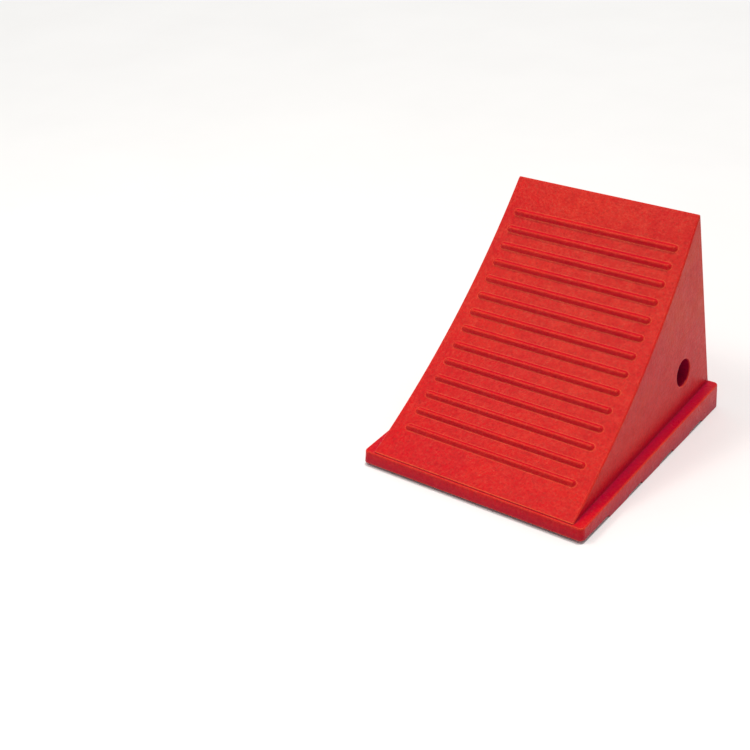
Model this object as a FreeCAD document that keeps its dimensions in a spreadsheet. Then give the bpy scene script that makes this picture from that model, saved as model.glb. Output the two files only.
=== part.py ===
import FreeCAD, Part
import math
import os

import Sketcher

# Moulded urethane wheel chock.
# Frame: origin on the ground under the middle of the base, +Z up,
# the ramp faces -Y, +X is the right-hand side seen from the ramp.

DIMENSIONS = [
    # base
    ("flange_width", 228.0),
    ("flange_length", 263.0),
    ("flange_front_height", 14.3),
    ("flange_rear_height", 24.2),
    ("side_draft", 0.9),
    ("front_draft", 1.4),
    ("flange_corner_radius", 4.6),
    ("flange_edge_radius", 1.2),
    ("heel_bevel_run", 4.0),
    ("heel_bevel_rise", 4.4),
    # cleats under the base
    ("cleat_height", 2.8),
    ("cleat_length", 31.6),
    ("cleat_pitch", 60.3),
    ("cleat_front_run", 0.9),
    ("cleat_rear_run", 4.0),
    ("cleat_rear_rise", 1.7),
    ("first_cleat_inset", 47.8),
    # wedge
    ("overall_height", 203.0),
    ("body_foot_width", 207.2),
    ("side_taper_angle", 3.15),
    ("toe_setback", 2.0),
    ("toe_step", 1.0),
    ("heel_setback", 1.2),
    ("crest_setback", 22.4),
    ("ramp_radius", 710.0),
    ("ramp_foot_angle", 26.15),
    ("edge_radius", 1.5),
    # ribs across the ramp
    ("rib_first", 34.8),
    ("rib_pitch", 18.08),
    ("rib_bow", 0.058),
    ("rib_width", 7.4),
    ("rib_height", 3.3),
    ("rib_root", 1.5),
    ("rib_flank_angle", 42.0),
    ("rib_edge_radius", 1.3),
    ("rib_root_radius", 0.4),
    ("rib_length_low", 178.0),
    ("rib_length_high", 170.6),
    # rope hole from side to side
    ("rope_hole_diameter", 26.4),
    ("rope_hole_inset", 55.0),
    ("rope_hole_height", 58.8),
    ("rope_hole_rim", 1.0),
    # hand pocket in the back wall
    ("pocket_width", 108.0),
    ("pocket_height", 23.0),
    ("pocket_centre_height", 135.4),
    ("pocket_depth", 42.0),
    ("pocket_corner_radius", 3.0),
    ("pocket_inner_radius", 5.0),
    ("pocket_lip_radius", 3.0),
    # plain moulded panels on the back wall
    ("relief_height", 0.7),
    ("relief_line", 1.3),
    ("upper_panel_width", 122.0),
    ("upper_panel_low", 158.5),
    ("upper_panel_high", 196.0),
    ("panel_corner_radius", 4.0),
    ("lines_top", 97.5),
    ("lines_pitch", 5.6),
    ("lines_height", 2.2),
    ("lines_relief", 0.45),
    # bonded spigot between wedge and base
    ("spigot_width", 150.0),
    ("spigot_length", 140.0),
    ("spigot_depth", 4.0),
    ("spigot_centre", 40.0),
    ("bond_gap", 0.25),
]

RIB_COUNT = 14
CLEAT_COUNT = 4
LINE_COUNT = 9

# Plain raised bars on the back wall: left and right of the middle, then low and high above
# the ground, in mm.
PANEL_BARS = [
    (-51.0, 51.0, 180.0, 190.5),
    (-57.0, -25.0, 174.2, 175.5),
    (40.0, 57.0, 174.2, 175.5),
    (-40.0, 6.0, 164.5, 168.2),
    (-72.0, -24.0, 107.6, 108.8),
    (20.0, 72.0, 107.6, 108.8),
    (-17.0, 13.0, 102.6, 106.6),
    (-72.0, -20.0, 100.0, 101.2),
    (16.0, 72.0, 100.0, 101.2),
]

# Breaks in the rows of plain lines, left to right of the middle, in mm.
LINE_BREAKS = [
    [(-68.0, -31.0), (-28.0, 9.0), (12.0, 66.0)],
    [(-68.0, -44.0), (-41.0, 22.0), (25.0, 62.0)],
    [(-68.0, -12.0), (-9.0, 40.0), (43.0, 67.0)],
]

os.makedirs("parts", exist_ok=True)
doc = FreeCAD.newDocument("wheel_chock")
sheet = doc.addObject("Spreadsheet::Sheet", "dims")
for row, (alias, number) in enumerate(DIMENSIONS, start=1):
    sheet.set("A%d" % row, alias)
    sheet.set("B%d" % row, str(number))
    sheet.setAlias("B%d" % row, alias)
doc.recompute()


def value(expression):
    """Current number behind an expression."""
    result = sheet.evalExpression(expression)
    return float(getattr(result, "Value", result))


# Expressions shared by several sketches.
REAR = "((dims.flange_length + dims.front_draft) / 2)"
FRONT = "(-(dims.flange_length + dims.front_draft) / 2)"
FLANGE_FRONT = "((dims.front_draft - dims.flange_length) / 2)"
TOE_Y = "(%s + dims.toe_setback)" % FLANGE_FRONT
HEEL_Y = "(%s - dims.heel_setback)" % REAR
CREST_REAR_Y = "(%s - dims.crest_setback)" % REAR


def flange_top(y):
    """Height of the sloping top of the flange at a station y."""
    rise = "(dims.flange_rear_height - dims.flange_front_height)"
    return "(dims.flange_front_height + %s * (%s - %s) / dims.flange_length)" % (rise, y, FLANGE_FRONT)


TOE_Z = "(%s + dims.toe_step)" % flange_top(TOE_Y)
RAMP_CENTRE_Y = "(%s - dims.ramp_radius * sin(dims.ramp_foot_angle))" % TOE_Y
RAMP_CENTRE_Z = "(%s + dims.ramp_radius * cos(dims.ramp_foot_angle))" % TOE_Z
CREST_ANGLE = "acos((%s - dims.overall_height) / dims.ramp_radius)" % RAMP_CENTRE_Z
CREST_FRONT_Y = "(%s + dims.ramp_radius * sin(%s))" % (RAMP_CENTRE_Y, CREST_ANGLE)
BACK_LEAN = "atan((%s - %s) / (dims.overall_height - %s))" % (HEEL_Y, CREST_REAR_Y, flange_top(HEEL_Y))


def new_body(name):
    body = doc.addObject("PartDesign::Body", name)
    body.Label = name
    return body


def origin_plane(body, role):
    return [item for item in body.Origin.OriginFeatures if item.Role == role][0]


def new_sketch(body, name, role):
    sketch = body.newObject("Sketcher::SketchObject", name)
    sketch.AttachmentSupport = [(origin_plane(body, role), "")]
    sketch.MapMode = "FlatFace"
    return sketch


def pin(sketch, geometry, point, x, y):
    """Hold one point of a sketch at a pair of expressions."""
    for kind, expression in (("DistanceX", x), ("DistanceY", y)):
        index = sketch.addConstraint(Sketcher.Constraint(kind, geometry, point, value(expression)))
        sketch.setExpression("Constraints[%d]" % index, expression)


def polygon(sketch, points):
    """Closed outline through points given as pairs of expressions."""
    corners = [FreeCAD.Vector(value(x), value(y), 0) for x, y in points]
    first = sketch.GeometryCount
    count = len(points)
    for i in range(count):
        sketch.addGeometry(Part.LineSegment(corners[i], corners[(i + 1) % count]))
    for i in range(count):
        sketch.addConstraint(Sketcher.Constraint("Coincident", first + i, 2, first + (i + 1) % count, 1))
    for i, (x, y) in enumerate(points):
        pin(sketch, first + i, 1, x, y)


def rectangle(sketch, x_low, x_high, y_low, y_high):
    polygon(sketch, [(x_low, y_low), (x_high, y_low), (x_high, y_high), (x_low, y_high)])


def slot(sketch, half_length, half_width):
    """Straight bar with round ends, centred on the sketch origin."""
    length = value(half_length)
    width = value(half_width)
    reach = length - width
    left = FreeCAD.Vector(-reach, 0, 0)
    right = FreeCAD.Vector(reach, 0, 0)
    up = FreeCAD.Vector(0, width, 0)
    normal = FreeCAD.Vector(0, 0, 1)
    top = sketch.addGeometry(Part.LineSegment(right + up, left + up))
    quarter = math.pi / 2
    left_circle = Part.Circle(left, normal, width)
    right_circle = Part.Circle(right, normal, width)
    end_left = sketch.addGeometry(Part.ArcOfCircle(left_circle, quarter, 3 * quarter))
    low = sketch.addGeometry(Part.LineSegment(left - up, right - up))
    end_right = sketch.addGeometry(Part.ArcOfCircle(right_circle, -quarter, quarter))
    chain = [top, end_left, low, end_right]
    for i, geometry in enumerate(chain):
        following = chain[(i + 1) % 4]
        sketch.addConstraint(Sketcher.Constraint("Tangent", geometry, 2, following, 1))
    sketch.addConstraint(Sketcher.Constraint("Horizontal", top))
    sketch.addConstraint(Sketcher.Constraint("PointOnObject", end_right, 3, -1))
    sketch.addConstraint(Sketcher.Constraint("Symmetric", end_left, 3, end_right, 3, -1, 1))
    radius = sketch.addConstraint(Sketcher.Constraint("Radius", end_right, width))
    sketch.setExpression("Constraints[%d]" % radius, half_width)
    reach_index = sketch.addConstraint(Sketcher.Constraint("DistanceX", end_right, 3, reach))
    sketch.setExpression("Constraints[%d]" % reach_index, "%s - %s" % (half_length, half_width))


def place_sketch(sketch, y, z, angle):
    """Shift a sketch by expressions and turn it about X."""
    turn = FreeCAD.Rotation(FreeCAD.Vector(1, 0, 0), value(angle))
    sketch.AttachmentOffset = FreeCAD.Placement(FreeCAD.Vector(0, value(y), value(z)), turn)
    sketch.setExpression("AttachmentOffset.Base.y", y)
    sketch.setExpression("AttachmentOffset.Base.z", z)
    sketch.setExpression("AttachmentOffset.Rotation.Angle", angle)


def pad(body, name, sketch, length, midplane=False, reverse=False):
    feature = body.newObject("PartDesign::Pad", name)
    feature.Profile = sketch
    feature.Midplane = midplane
    feature.Reversed = reverse
    feature.setExpression("Length", length)
    doc.recompute()
    return feature


def cut_through(body, name, sketch):
    """Cut a profile through the whole body, both ways."""
    before = body.Shape.Volume
    feature = body.newObject("PartDesign::Pocket", name)
    feature.Profile = sketch
    feature.Type = "ThroughAll"
    feature.Midplane = True
    doc.recompute()
    assert body.Shape.Volume < before - 1, name
    return feature


def fillet(body, name, base, edges, radius):
    feature = body.newObject("PartDesign::Fillet", name)
    feature.Base = (base, edges)
    feature.setExpression("Radius", radius)
    doc.recompute()
    return feature


def pick_edges(shape, test):
    """Names of the edges whose bounding box passes a test."""
    return ["Edge%d" % i for i, edge in enumerate(shape.Edges, start=1) if test(edge, edge.BoundBox)]


def taper_sides(body, name, low_half, high_half, high_z, reach):
    """Trim everything outside a trapezium seen along Y."""
    sketch = new_sketch(body, name + "_outline", "XZ_Plane")
    rectangle(sketch, "-" + reach, reach, "-" + reach, "2 * " + reach)
    polygon(sketch, [
        ("-(%s)" % low_half, "-1"),
        (low_half, "-1"),
        (high_half, high_z),
        ("-(%s)" % high_half, high_z),
    ])
    return cut_through(body, name, sketch)


# ---------------------------------------------------------------- wedge body

wedge = new_body("wedge_body")
profile = new_sketch(wedge, "wedge_profile", "YZ_Plane")
toe = FreeCAD.Vector(value(TOE_Y), value(TOE_Z), 0)
crest_front = FreeCAD.Vector(value(CREST_FRONT_Y), value("dims.overall_height"), 0)
crest_rear = FreeCAD.Vector(value(CREST_REAR_Y), value("dims.overall_height"), 0)
lean = "tan(%s)" % BACK_LEAN
below = FreeCAD.Vector(value(HEEL_Y) + value(lean) * value(flange_top(HEEL_Y)), 0, 0)
start = FreeCAD.Vector(value(TOE_Y), 0, 0)
centre = FreeCAD.Vector(value(RAMP_CENTRE_Y), value(RAMP_CENTRE_Z), 0)
arc = Part.ArcOfCircle(
    Part.Circle(centre, FreeCAD.Vector(0, 0, 1), value("dims.ramp_radius")),
    math.radians(value("dims.ramp_foot_angle") - 90),
    math.radians(value(CREST_ANGLE) - 90),
)
ramp = profile.addGeometry(arc)
crest = profile.addGeometry(Part.LineSegment(crest_front, crest_rear))
back = profile.addGeometry(Part.LineSegment(crest_rear, below))
bottom = profile.addGeometry(Part.LineSegment(below, start))
nose = profile.addGeometry(Part.LineSegment(start, toe))
for one, other in ((ramp, crest), (crest, back), (back, bottom), (bottom, nose), (nose, ramp)):
    profile.addConstraint(Sketcher.Constraint("Coincident", one, 2, other, 1))
pin(profile, ramp, 1, TOE_Y, TOE_Z)
pin(profile, crest, 1, CREST_FRONT_Y, "dims.overall_height")
pin(profile, back, 1, CREST_REAR_Y, "dims.overall_height")
radius_index = profile.addConstraint(Sketcher.Constraint("Radius", ramp, value("dims.ramp_radius")))
profile.setExpression("Constraints[%d]" % radius_index, "dims.ramp_radius")
heel_reach = "%s + %s * %s" % (HEEL_Y, lean, flange_top(HEEL_Y))
reach_index = profile.addConstraint(Sketcher.Constraint("DistanceX", bottom, 1, value(heel_reach)))
profile.setExpression("Constraints[%d]" % reach_index, heel_reach)
profile.addConstraint(Sketcher.Constraint("PointOnObject", bottom, 1, -1))
profile.addConstraint(Sketcher.Constraint("PointOnObject", nose, 1, -1))
profile.addConstraint(Sketcher.Constraint("Vertical", nose))
pad(wedge, "wedge_block", profile, "dims.body_foot_width + 40", midplane=True)

slope = "tan(dims.side_taper_angle)"
foot_half = "(dims.body_foot_width / 2 + (dims.flange_rear_height + 1) * %s)" % slope
crest_half = "(dims.body_foot_width / 2 + (dims.flange_rear_height - 220) * %s)" % slope
sides = taper_sides(wedge, "side_taper", foot_half, crest_half, "220", "300")

z_low = 1.0
outer = pick_edges(sides.Shape, lambda edge, box: box.ZMax > z_low and not (
    box.ZLength < 0.5 and abs(box.ZMax - value(TOE_Z)) < 0.5))
fillet(wedge, "wedge_edges", sides, outer, "dims.edge_radius")

foot = new_sketch(wedge, "foot_outline", "YZ_Plane")
polygon(foot, [
    (FRONT + " - 20", flange_top(FRONT + " - 20")),
    (FRONT + " - 20", "-20"),
    (REAR + " + 20", "-20"),
    (REAR + " + 20", flange_top(REAR + " + 20")),
])
cut_through(wedge, "foot_cut", foot)

# Ribs: each stands square to the ramp at its own station along the arc. The bow term
# spreads the middle ribs slightly up the ramp, so the pitch tightens towards the crest.
for i in range(RIB_COUNT):
    bow = i * (RIB_COUNT - 1 - i)
    station = "(dims.rib_first + %d * dims.rib_pitch + %d * dims.rib_bow)" % (i, bow)
    angle = "(dims.ramp_foot_angle + %s / dims.ramp_radius * 180 / pi)" % station
    y = "%s + (dims.ramp_radius + dims.rib_root) * sin(%s)" % (RAMP_CENTRE_Y, angle)
    z = "%s - (dims.ramp_radius + dims.rib_root) * cos(%s)" % (RAMP_CENTRE_Z, angle)
    share = "%d / %d" % (i, RIB_COUNT - 1)
    length = "(dims.rib_length_low + (dims.rib_length_high - dims.rib_length_low) * %s)" % share
    flank = "dims.rib_root * tan(dims.rib_flank_angle)"
    sketch = new_sketch(wedge, "rib_outline_%02d" % (i + 1), "XY_Plane")
    place_sketch(sketch, y, z, angle)
    slot(sketch, "(%s / 2 + %s)" % (length, flank), "(dims.rib_width / 2 + %s)" % flank)
    rib = pad(wedge, "rib_%02d" % (i + 1), sketch, "dims.rib_height + dims.rib_root")
    rib.setExpression("TaperAngle", "-dims.rib_flank_angle")
    doc.recompute()


def ramp_distance(vertex):
    """Distance of a vertex from the axis of the ramp's arc."""
    return math.hypot(vertex.Y - centre.x, vertex.Z - centre.y)


def on_ramp(edge, depth):
    """True for an edge of the rib zone lying a depth above the ramp."""
    radius = value("dims.ramp_radius") - depth
    inside = value("dims.rib_length_low") / 2 + 3
    return all(abs(ramp_distance(v) - radius) < 0.1 and abs(v.X) < inside for v in edge.Vertexes)


rib_tops = pick_edges(rib.Shape, lambda edge, box: on_ramp(edge, value("dims.rib_height")))
rib_rounds = fillet(wedge, "rib_rounds", rib, rib_tops, "dims.rib_edge_radius")
rib_feet = pick_edges(rib_rounds.Shape, lambda edge, box: on_ramp(edge, 0))
fillet(wedge, "rib_roots", rib_rounds, rib_feet, "dims.rib_root_radius")

# Rope hole from side to side, with a soft rim.
ROPE_Y = "(%s - dims.rope_hole_inset)" % REAR
hole_sketch = new_sketch(wedge, "rope_hole_outline", "YZ_Plane")
hole_radius = value("dims.rope_hole_diameter") / 2
hole_centre = FreeCAD.Vector(value(ROPE_Y), value("dims.rope_hole_height"), 0)
circle = hole_sketch.addGeometry(Part.Circle(hole_centre, FreeCAD.Vector(0, 0, 1), hole_radius))
pin(hole_sketch, circle, 3, ROPE_Y, "dims.rope_hole_height")
size = hole_sketch.addConstraint(Sketcher.Constraint("Diameter", circle, 2 * hole_radius))
hole_sketch.setExpression("Constraints[%d]" % size, "dims.rope_hole_diameter")
rope_hole = cut_through(wedge, "rope_hole", hole_sketch)


def near_hole(edge, box):
    """True for the two ring edges where the hole meets the side walls."""
    distances = [math.hypot(v.Y - hole_centre.x, v.Z - hole_centre.y) for v in edge.Vertexes]
    return box.XLength < 3 and all(abs(d - hole_radius) < 0.05 for d in distances)


hole_rims = pick_edges(rope_hole.Shape, near_hole)
fillet(wedge, "rope_hole_rims", rope_hole, hole_rims, "dims.rope_hole_rim")

# Hand pocket cut forwards into the back wall.
WALL_FOOT_Y = "(%s + tan(%s) * %s)" % (HEEL_Y, BACK_LEAN, flange_top(HEEL_Y))
POCKET_Y = "(%s - tan(%s) * dims.pocket_centre_height - dims.pocket_depth)" % (WALL_FOOT_Y, BACK_LEAN)
POCKET_LOW = "(dims.pocket_centre_height - dims.pocket_height / 2)"
POCKET_HIGH = "(dims.pocket_centre_height + dims.pocket_height / 2)"
pocket_sketch = new_sketch(wedge, "hand_pocket_outline", "XZ_Plane")
place_sketch(pocket_sketch, "0", "-" + POCKET_Y, "0")
rectangle(pocket_sketch, "-dims.pocket_width / 2", "dims.pocket_width / 2", POCKET_LOW, POCKET_HIGH)
before_pocket = wedge.Shape.Volume
hand_pocket = wedge.newObject("PartDesign::Pocket", "hand_pocket")
hand_pocket.Profile = pocket_sketch
hand_pocket.Type = "ThroughAll"
doc.recompute()
removed = before_pocket - wedge.Shape.Volume
assert abs(removed / value("dims.pocket_width * dims.pocket_height * dims.pocket_depth") - 1) < 0.1, removed

pocket_floor = value(POCKET_Y)
half_pocket = value("dims.pocket_width") / 2
pocket_low = value(POCKET_LOW)
pocket_high = value(POCKET_HIGH)


def in_pocket(edge):
    """True for an edge whose ends all lie on the pocket's walls, floor or mouth."""
    margin = 0.1
    for v in edge.Vertexes:
        across = abs(v.X) < half_pocket + margin
        upright = pocket_low - margin < v.Z < pocket_high + margin
        if not (across and upright and v.Y > pocket_floor - margin):
            return False
    return True


corners = pick_edges(hand_pocket.Shape, lambda edge, box: in_pocket(edge) and box.YLength > 20)
pocket_corners = fillet(wedge, "pocket_corners", hand_pocket, corners, "dims.pocket_corner_radius")
far_end = pocket_floor + 0.1
floor_edges = pick_edges(pocket_corners.Shape, lambda edge, box: in_pocket(edge) and box.YMax < far_end)
pocket_end = fillet(wedge, "pocket_end", pocket_corners, floor_edges, "dims.pocket_inner_radius")
mouth = pick_edges(pocket_end.Shape, lambda edge, box: in_pocket(edge) and box.YMin > pocket_floor + 20)
fillet(wedge, "pocket_lip", pocket_end, mouth, "dims.pocket_lip_radius")


def rounded_rectangle(sketch, half_width, low, high, radius):
    """Closed rectangle about the local Y axis with equal corner arcs."""
    w, y0, y1, r = [value(item) for item in (half_width, low, high, radius)]
    normal = FreeCAD.Vector(0, 0, 1)
    centres = [(w - r, y0 + r), (w - r, y1 - r), (r - w, y1 - r), (r - w, y0 + r)]
    starts = [-math.pi / 2, 0, math.pi / 2, math.pi]
    arcs = []
    for (x, y), turn in zip(centres, starts):
        circle = Part.Circle(FreeCAD.Vector(x, y, 0), normal, r)
        arcs.append(sketch.addGeometry(Part.ArcOfCircle(circle, turn, turn + math.pi / 2)))
    sides = []
    for i, arc in enumerate(arcs):
        following = arcs[(i + 1) % 4]
        begin = sketch.getPoint(arc, 2)
        end = sketch.getPoint(following, 1)
        side = sketch.addGeometry(Part.LineSegment(begin, end))
        sketch.addConstraint(Sketcher.Constraint("Tangent", arc, 2, side, 1))
        sketch.addConstraint(Sketcher.Constraint("Tangent", side, 2, following, 1))
        sides.append(side)
    for arc in arcs[1:]:
        sketch.addConstraint(Sketcher.Constraint("Equal", arcs[0], arc))
    sketch.addConstraint(Sketcher.Constraint("Vertical", sides[0]))
    sketch.addConstraint(Sketcher.Constraint("Horizontal", sides[1]))
    sketch.addConstraint(Sketcher.Constraint("Symmetric", arcs[0], 3, arcs[3], 3, -2))
    for kind, geometry, point, number, expression in (
        ("Radius", arcs[0], None, r, radius),
        ("DistanceX", sides[0], 1, w, half_width),
        ("DistanceY", sides[1], 1, y1, high),
        ("DistanceY", sides[3], 1, y0, low),
    ):
        arguments = (kind, geometry, number) if point is None else (kind, geometry, point, number)
        index = sketch.addConstraint(Sketcher.Constraint(*arguments))
        sketch.setExpression("Constraints[%d]" % index, expression)


# Plain panels standing proud of the back wall. Local y runs up the wall.
def wall_run(height):
    """Local sketch y of a height above the ground on the back wall."""
    return "((%s) / cos(%s))" % (height, BACK_LEAN)


def wall_sketch(name):
    sketch = new_sketch(wedge, name, "XY_Plane")
    place_sketch(sketch, WALL_FOOT_Y, "0", BACK_LEAN + " + 90 deg")
    return sketch


frame_sketch = wall_sketch("panel_frame_outline")
frame_half = "dims.upper_panel_width / 2"
rounded_rectangle(
    frame_sketch,
    frame_half,
    wall_run("dims.upper_panel_low"),
    wall_run("dims.upper_panel_high"),
    "dims.panel_corner_radius",
)
rounded_rectangle(
    frame_sketch,
    frame_half + " - dims.relief_line",
    wall_run("dims.upper_panel_low") + " + dims.relief_line",
    wall_run("dims.upper_panel_high") + " - dims.relief_line",
    "dims.panel_corner_radius - dims.relief_line",
)
pad(wedge, "panel_frame", frame_sketch, "dims.relief_height", reverse=True)

bar_sketch = wall_sketch("panel_bars_outline")
for left, right, low, high in PANEL_BARS:
    rectangle(bar_sketch, str(left), str(right), wall_run(str(low)), wall_run(str(high)))
pad(wedge, "panel_bars", bar_sketch, "dims.relief_height", reverse=True)

line_sketch = wall_sketch("panel_lines_outline")
for row in range(LINE_COUNT):
    low = "(dims.lines_top - %d * dims.lines_pitch - dims.lines_height)" % row
    high = "(dims.lines_top - %d * dims.lines_pitch)" % row
    for left, right in LINE_BREAKS[row % len(LINE_BREAKS)]:
        rectangle(line_sketch, str(left), str(right), wall_run(low), wall_run(high))
pad(wedge, "panel_lines", line_sketch, "dims.lines_relief", reverse=True)

# Spigot under the wedge that drops into the recess in the base.
SPIGOT_FRONT = "(dims.spigot_centre - dims.spigot_length / 2)"
SPIGOT_REAR = "(dims.spigot_centre + dims.spigot_length / 2)"


def foot_block(body, name, grow, above, below):
    """Side outline of a block that follows the sloping face between wedge and base."""
    sketch = new_sketch(body, name + "_outline", "YZ_Plane")
    front = "%s - %s" % (SPIGOT_FRONT, grow)
    rear = "%s + %s" % (SPIGOT_REAR, grow)
    polygon(sketch, [
        (front, "%s - %s" % (flange_top(front), below)),
        (rear, "%s - %s" % (flange_top(rear), below)),
        (rear, "%s + %s" % (flange_top(rear), above)),
        (front, "%s + %s" % (flange_top(front), above)),
    ])
    return sketch


spigot_sketch = foot_block(wedge, "spigot", "0", "3", "dims.spigot_depth")
pad(wedge, "spigot", spigot_sketch, "dims.spigot_width", midplane=True)


# ---------------------------------------------------------------- base sole

base = new_body("base_sole")
outline = new_sketch(base, "base_profile", "YZ_Plane")
points = [
    (FLANGE_FRONT, "dims.flange_front_height"),
    (FRONT, "dims.cleat_height"),
]
for i in range(CLEAT_COUNT):
    begin = "(%s + dims.first_cleat_inset + %d * dims.cleat_pitch)" % (FRONT, i)
    end = "(%s + dims.cleat_length)" % begin
    points.append(("%s - dims.cleat_front_run" % begin, "dims.cleat_height"))
    points.append((begin, "0"))
    if i < CLEAT_COUNT - 1:
        points.append((end, "0"))
        points.append(("%s + dims.cleat_rear_run" % end, "dims.cleat_rear_rise"))
    else:
        points.append(("%s - dims.heel_bevel_run" % REAR, "0"))
points.append((REAR, "dims.heel_bevel_rise"))
points.append((REAR, "dims.flange_rear_height"))
polygon(outline, points)
pad(base, "base_block", outline, "dims.flange_width + 40", midplane=True)

half_top = "(dims.flange_width / 2)"
drift = "(dims.side_draft / dims.flange_rear_height)"
flange_sides = taper_sides(
    base,
    "side_draft",
    "(%s + dims.side_draft + %s)" % (half_top, drift),
    "(%s + %s * (dims.flange_rear_height - 60))" % (half_top, drift),
    "60",
    "300",
)
corner_edges = pick_edges(
    flange_sides.Shape,
    lambda edge, box: box.ZLength > 8 and box.XLength < 2 and box.YLength < 2,
)
rounded = fillet(base, "flange_corners", flange_sides, corner_edges, "dims.flange_corner_radius")


def top_rim(edge, box):
    """True for an edge lying on the flange's sloping top."""
    return all(abs(v.Z - value(flange_top(str(v.Y)))) < 0.05 for v in edge.Vertexes)


rim = pick_edges(rounded.Shape, top_rim)
flange_rim = fillet(base, "flange_rim", rounded, rim, "dims.flange_edge_radius")

recess_sketch = foot_block(base, "recess", "dims.bond_gap", "3", "(dims.spigot_depth + dims.bond_gap)")
recess = base.newObject("PartDesign::Pocket", "recess")
recess.Profile = recess_sketch
recess.Midplane = True
recess.setExpression("Length", "dims.spigot_width + 2 * dims.bond_gap")
before_recess = base.Shape.Volume
doc.recompute()
assert base.Shape.Volume < before_recess - 1000

for body in (wedge, base):
    body.Placement = FreeCAD.Placement(FreeCAD.Vector(0, 0, 0), FreeCAD.Rotation())
doc.recompute()

for item in doc.Objects:
    assert "Invalid" not in item.State and "Error" not in item.State, (item.Name, item.getStatusString())
for body in (wedge, base):
    assert not body.Shape.isNull() and body.Shape.isValid(), body.Label
    assert len(body.Shape.Solids) == 1, body.Label
    body.Shape.exportStep("parts/%s.step" % body.Label)
    print(body.Label, round(body.Shape.Volume), len(body.Shape.Faces))
assert wedge.Shape.common(base.Shape).Volume < 1.0, "the two pieces overlap"
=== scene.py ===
import math

import bpy
from mathutils import Euler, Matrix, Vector

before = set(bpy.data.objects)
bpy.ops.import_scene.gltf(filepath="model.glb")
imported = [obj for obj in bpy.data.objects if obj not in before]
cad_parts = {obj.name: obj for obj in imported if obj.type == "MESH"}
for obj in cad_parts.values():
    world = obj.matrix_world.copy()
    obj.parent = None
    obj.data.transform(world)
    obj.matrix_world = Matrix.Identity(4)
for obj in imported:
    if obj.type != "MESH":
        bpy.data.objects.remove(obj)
scene = bpy.context.scene
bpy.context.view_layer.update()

# Screen colours, 0 to 255.
RED_DEEP = (207, 0, 30)
RED_CLOUD = (214, 8, 26)
RED_MOTTLE = (190, 0, 30)
RED_SPECK = (150, 0, 24)
# painted sheen: orange reflection of the bright surroundings on open faces
SHEEN_ORANGE = (214, 86, 34)
DUST_PINK = (224, 84, 70)
# edge wear, partly a painted highlight along the rounded edges
EDGE_WEAR_AND_HIGHLIGHT = (242, 104, 62)
# painted shade for creases, wall feet and openings
SHADE_PURPLE = (146, 6, 60)

# Lengths in metres.
NOOK_REACH = 0.030
EDGE_RADIUS = 0.0018
SHEEN_FADE_LOW = 0.055
SHEEN_FADE_HIGH = 0.105
FLOOR_SIZE = 14.0
FLOOR_HEIGHT = -0.0002  # just under the cleats, so the two faces never coincide

# A face counts as sideways or rearward as its normal's share of that axis passes these.
FACING_FROM = 0.70
FACING_FULL = 0.95

# Camera: place in metres, angles in degrees.
CAMERA_LENS_MM = 66.6
CAMERA_SENSOR_MM = 36.0
CAMERA_PLACE = (0.5639, -0.9599, 0.7131)
CAMERA_ANGLES = (59.90, 3.10, 36.71)

WHITE = (1.0, 1.0, 1.0)
WARM_WHITE = (1.0, 0.98, 0.95)
WARM_LAMP = (1.0, 0.93, 0.86)
WORLD_STRENGTH = 0.46


# ------------------------------------------------------------------ materials
class Nodes:
    """Small helper for building a material's node tree."""

    def __init__(self, name):
        self.material = bpy.data.materials.new(name)
        self.material.use_nodes = True
        self.tree = self.material.node_tree
        self.tree.nodes.clear()

    def plug(self, socket, value):
        """Link a socket to another one, or set it to a plain value."""
        if isinstance(value, bpy.types.NodeSocket):
            self.tree.links.new(value, socket)
        else:
            socket.default_value = value

    def add(self, kind, inputs=None, **settings):
        node = self.tree.nodes.new(kind)
        for key, value in settings.items():
            setattr(node, key, value)
        for key, value in (inputs or {}).items():
            self.plug(node.inputs[key], value)
        return node

    def noise(self, vector, scale, detail, roughness, distortion=0.0):
        inputs = {
            "Vector": vector,
            "Scale": scale,
            "Detail": detail,
            "Roughness": roughness,
            "Distortion": distortion,
        }
        return self.add("ShaderNodeTexNoise", inputs).outputs["Fac"]

    def ramp(self, fac, low, high, start=0.0, end=1.0):
        """Carry a value from one range to another, held at both ends."""
        inputs = {"Value": fac, "From Min": low, "From Max": high, "To Min": start, "To Max": end}
        node = self.add("ShaderNodeMapRange", inputs)
        node.clamp = True
        return node.outputs["Result"]

    def math(self, operation, a, b=0.0):
        return self.add("ShaderNodeMath", {0: a, 1: b}, operation=operation).outputs[0]

    def times(self, a, b):
        return self.math("MULTIPLY", a, b)

    def mix(self, fac, a, b):
        """Mix two colours; the sockets go by number because their names repeat."""
        node = self.add("ShaderNodeMix", {0: fac, 6: a, 7: b}, data_type="RGBA", blend_type="MIX")
        return node.outputs[2]

    def bump(self, height, strength, distance, normal=None):
        inputs = {"Strength": strength, "Distance": distance, "Height": height}
        if normal is not None:
            inputs["Normal"] = normal
        return self.add("ShaderNodeBump", inputs).outputs[0]

    def finish(self, shader):
        self.add("ShaderNodeOutputMaterial", {"Surface": shader.outputs[0]})
        return self.material


def linear(screen_colour):
    """Screen colour, 0 to 255, as linear RGBA."""
    out = []
    for channel in screen_colour:
        c = channel / 255
        out.append(c / 12.92 if c <= 0.04045 else ((c + 0.055) / 1.055) ** 2.4)
    return (*out, 1.0)


def body_colour(n, place, mottle):
    """Broad clouding, finer mottle and small dark specks."""
    cloud = n.ramp(n.noise(place, 15.0, 4.0, 0.6, 0.6), 0.36, 0.66)
    base = n.mix(cloud, linear(RED_DEEP), linear(RED_CLOUD))
    base = n.mix(n.times(mottle, 0.5), base, linear(RED_MOTTLE))
    specks = n.ramp(n.noise(place, 430.0, 4.0, 0.7), 0.48, 0.68, 0.0, 0.50)
    return n.mix(specks, base, linear(RED_SPECK))


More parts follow.
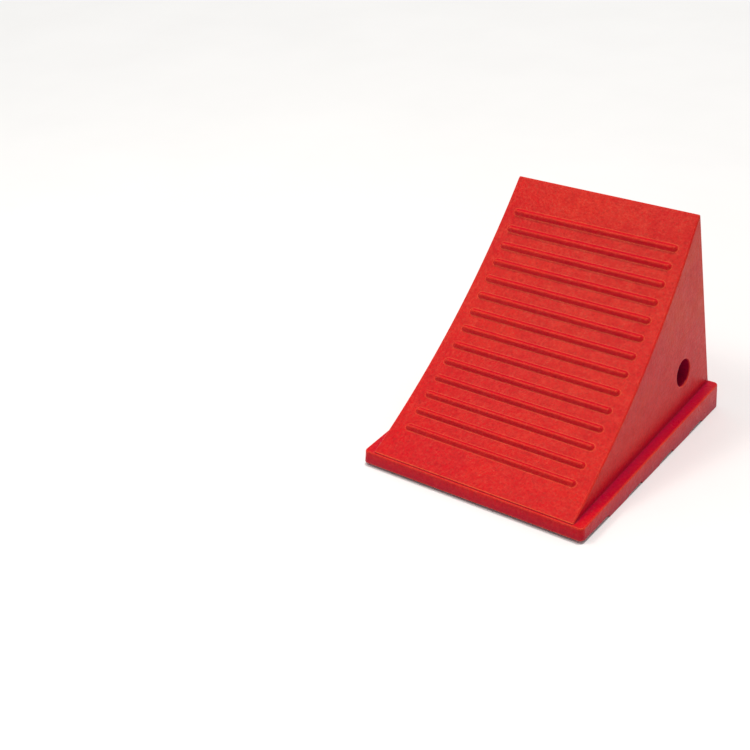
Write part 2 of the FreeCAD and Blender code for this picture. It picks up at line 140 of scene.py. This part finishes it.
def painted_sheen_amount(n, place, nook, sideways, rearward):
    """Painted sheen on open faces, standing in for the reflection of the bright surroundings: heavy
    on the side walls, thin on the back wall and near the ground.
    """
    patches = n.ramp(n.noise(place, 13.0, 7.0, 0.66, 1.2), 0.38, 0.64, 0.12, 1.0)
    amount = n.math("ADD", n.times(sideways, 0.30), 0.08)
    amount = n.times(amount, n.ramp(rearward, 0.0, 1.0, 1.0, 0.15))
    amount = n.times(amount, n.ramp(nook, 0.60, 0.98))
    height = n.add("ShaderNodeSeparateXYZ", {"Vector": place}).outputs["Z"]
    amount = n.times(amount, n.ramp(height, SHEEN_FADE_LOW, SHEEN_FADE_HIGH, 0.25, 1.0))
    return n.times(patches, amount)


def dust_amount(n, place, rearward):
    dust = n.ramp(n.noise(place, 330.0, 5.0, 0.75), 0.50, 0.76, 0.0, 0.42)
    return n.times(dust, n.ramp(rearward, 0.0, 1.0, 1.0, 0.30))


def wear_and_highlight_amount(n, place, rearward):
    """Edge wear together with a painted highlight along convex and concave edges, broken up and
    weaker on the back wall.
    """
    soft = n.add("ShaderNodeBevel", {"Radius": EDGE_RADIUS}, samples=6).outputs["Normal"]
    sharp = n.add("ShaderNodeNewGeometry").outputs["Normal"]
    product = n.add("ShaderNodeVectorMath", {0: soft, 1: sharp}, operation="DOT_PRODUCT")
    edge = n.ramp(product.outputs["Value"], 0.995, 0.95)
    broken = n.ramp(n.noise(place, 90.0, 5.0, 0.7), 0.28, 0.60, 0.45, 0.9)
    return n.times(n.times(edge, broken), n.ramp(rearward, 0.0, 1.0, 0.95, 0.28))


def mould_skin(n, place):
    """Gentle unevenness from the mould, small dimples and a fine grain."""
    grain = n.noise(place, 1400.0, 3.0, 0.6)
    dimples = n.noise(place, 300.0, 4.0, 0.6)
    waves = n.noise(place, 30.0, 3.0, 0.5)
    normal = n.bump(grain, 0.5, 0.00012)
    normal = n.bump(dimples, 0.7, 0.0005, normal)
    return n.bump(waves, 0.5, 0.0020, normal)


def urethane(name):
    """Cast red urethane: coloured through, with a painted sheen on open faces, painted shade in
    creases, and worn edges that also carry painted highlights.
    """
    n = Nodes(name)
    coordinates = n.add("ShaderNodeTexCoord")
    place = coordinates.outputs["Object"]
    facing = n.add("ShaderNodeSeparateXYZ", {"Vector": coordinates.outputs["Normal"]})
    sideways = n.ramp(n.math("ABSOLUTE", facing.outputs["X"]), FACING_FROM, FACING_FULL)
    rearward = n.ramp(facing.outputs["Y"], FACING_FROM, FACING_FULL)
    mottle = n.ramp(n.noise(place, 95.0, 6.0, 0.7, 0.4), 0.38, 0.64)

    # Openness to the surroundings: low in creases, beside the walls and inside openings.
    nook = n.add("ShaderNodeAmbientOcclusion", {"Distance": NOOK_REACH}, samples=10).outputs["AO"]

    # Painted sheen: the reflection of the bright surroundings on the side walls, painted into the
    # colour.
    painted_sheen = painted_sheen_amount(n, place, nook, sideways, rearward)
    base = n.mix(painted_sheen, body_colour(n, place, mottle), linear(SHEEN_ORANGE))
    base = n.mix(dust_amount(n, place, rearward), base, linear(DUST_PINK))
    # Edge wear, partly a painted highlight on rounded edges and rib crests.
    base = n.mix(wear_and_highlight_amount(n, place, rearward), base, linear(EDGE_WEAR_AND_HIGHLIGHT))
    # Painted shade: darker purple where the surface is closed in, in creases, beside the walls and
    # inside openings.
    painted_shade = n.ramp(nook, 0.84, 0.45, 0.0, 0.85)
    base = n.mix(painted_shade, base, linear(SHADE_PURPLE))

    rough = n.math("ADD", n.ramp(mottle, 0.0, 1.0, 0.27, 0.38), n.times(painted_sheen, 0.16))
    shader = n.add(
        "ShaderNodeBsdfPrincipled",
        {
            "Base Color": base,
            "Roughness": rough,
            "Normal": mould_skin(n, place),
            "IOR": 1.25,
            "Specular IOR Level": 0.5,
            "Specular Tint": (1.0, 0.80, 0.40, 1.0),
        },
    )
    return n.finish(shader)


skin = urethane("moulded_urethane_red")
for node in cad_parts.values():
    node.data.materials.clear()
    node.data.materials.append(skin)


# ---------------------------------------------------------------------- stage
def pale_floor():
    n = Nodes("studio_floor")
    place = n.add("ShaderNodeTexCoord").outputs["Object"]
    tone = n.ramp(n.noise(place, 6.0, 3.0, 0.5), 0.3, 0.7)
    base = n.mix(tone, (0.90, 0.90, 0.90, 1.0), (0.92, 0.92, 0.92, 1.0))
    return n.finish(n.add("ShaderNodeBsdfPrincipled", {"Base Color": base, "Roughness": 0.75}))


bpy.ops.mesh.primitive_plane_add(size=FLOOR_SIZE, location=(0.0, 0.0, FLOOR_HEIGHT))
floor = bpy.context.object
floor.name = "studio_floor"
floor.data.materials.append(pale_floor())


def new_lamp(name, kind, energy, tint):
    data = bpy.data.lights.new(name, kind)
    data.energy = energy
    data.color = tint
    lamp = bpy.data.objects.new(name, data)
    scene.collection.objects.link(lamp)
    return lamp


def area_light(name, location, aim, size, watts, tint):
    """Square lamp at a place, pointed at another."""
    lamp = new_lamp(name, "AREA", watts, tint)
    lamp.data.shape = "SQUARE"
    lamp.data.size = size
    lamp.location = location
    direction = Vector(aim) - Vector(location)
    lamp.rotation_mode = "QUATERNION"
    lamp.rotation_quaternion = direction.to_track_quat("-Z", "Y")


def sun_light(name, lean_back, spread, strength, tint):
    """Distant soft light; the lean from overhead and the spread are in degrees."""
    lamp = new_lamp(name, "SUN", strength, tint)
    lamp.data.angle = math.radians(spread)
    lamp.rotation_euler = Euler((math.radians(-lean_back), 0.0, 0.0), "XYZ")


sun_light("key", lean_back=11.0, spread=8.0, strength=1.75, tint=WARM_WHITE)
area_light(
    "front_sheen",
    location=(-0.46, -0.42, 1.14),
    aim=(0.05, 0.0, 0.1),
    size=0.34,
    watts=4.2,
    tint=WARM_LAMP,
)

world = bpy.data.worlds.new("studio_air")
world.use_nodes = True
background = world.node_tree.nodes["Background"]
background.inputs["Color"].default_value = (*WHITE, 1.0)
background.inputs["Strength"].default_value = WORLD_STRENGTH
scene.world = world
scene.view_settings.view_transform = "Standard"

# --------------------------------------------------------------------- camera
camera_data = bpy.data.cameras.new("camera")
camera_data.sensor_width = CAMERA_SENSOR_MM
camera_data.lens = CAMERA_LENS_MM
camera = bpy.data.objects.new("camera", camera_data)
scene.collection.objects.link(camera)
camera.location = CAMERA_PLACE
camera.rotation_euler = Euler([math.radians(angle) for angle in CAMERA_ANGLES], "XYZ")
scene.camera = camera
